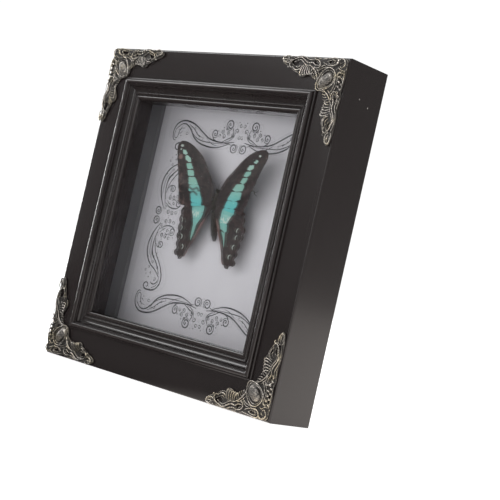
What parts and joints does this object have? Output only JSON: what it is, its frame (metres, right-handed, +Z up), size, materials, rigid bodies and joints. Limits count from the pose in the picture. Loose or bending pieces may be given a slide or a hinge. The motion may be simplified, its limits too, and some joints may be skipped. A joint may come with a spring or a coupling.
{
  "type": "framed butterfly specimen",
  "caption": "Dried swallowtail butterfly with a turquoise band, mounted on a scroll-bordered card in a deep square black box frame with cast metal corners.",
  "frame": {"origin": "middle of the bottom of the whole object's box, at mid depth", "axes": "+Z up along the height of the standing frame, -Y out of the glazed front, +X to the right seen from the front"},
  "size_m": [0.169, 0.031, 0.169],
  "materials": {
    "black_wood": "satin black-brown paint on moulded wood, with soft highlights on the beads",
    "antique_metal": "antique cast metal, dark in the hollows and rubbed bright on the ridges",
    "clear_glass": "clear polished float glass",
    "grey_card": "matte dark grey board",
    "lilac_card": "matte lilac white card with a black printed scroll border",
    "fibreboard": "plain hard fibreboard",
    "zinc_plate": "zinc plated sheet steel",
    "insect_body": "dry chitin with short dark hair",
    "wing_scales": "powdery wing scales, dark brown with a turquoise band",
    "cork": "cut cork"
  },
  "bodies": {
    "root": {"rail_bottom": "black_wood", "rail_left": "black_wood", "rail_top": "black_wood", "rail_right": "black_wood", "corner_top_left": "antique_metal", "corner_top_right": "antique_metal", "corner_bottom_left": "antique_metal", "corner_bottom_right": "antique_metal", "glass_pane": "clear_glass", "spacer_bottom": "grey_card", "spacer_left": "grey_card", "spacer_top": "grey_card", "spacer_right": "grey_card", "printed_card": "lilac_card", "back_board": "fibreboard", "backing_tab_bottom": "zinc_plate", "backing_tab_left": "zinc_plate", "backing_tab_top": "zinc_plate", "backing_tab_right": "zinc_plate", "sawtooth_hanger": "zinc_plate", "butterfly_body": "insect_body", "forewing_left": "wing_scales", "forewing_right": "wing_scales", "hindwing_left": "wing_scales", "hindwing_right": "wing_scales", "mounting_block": "cork"}
  },
  "joints": []
}
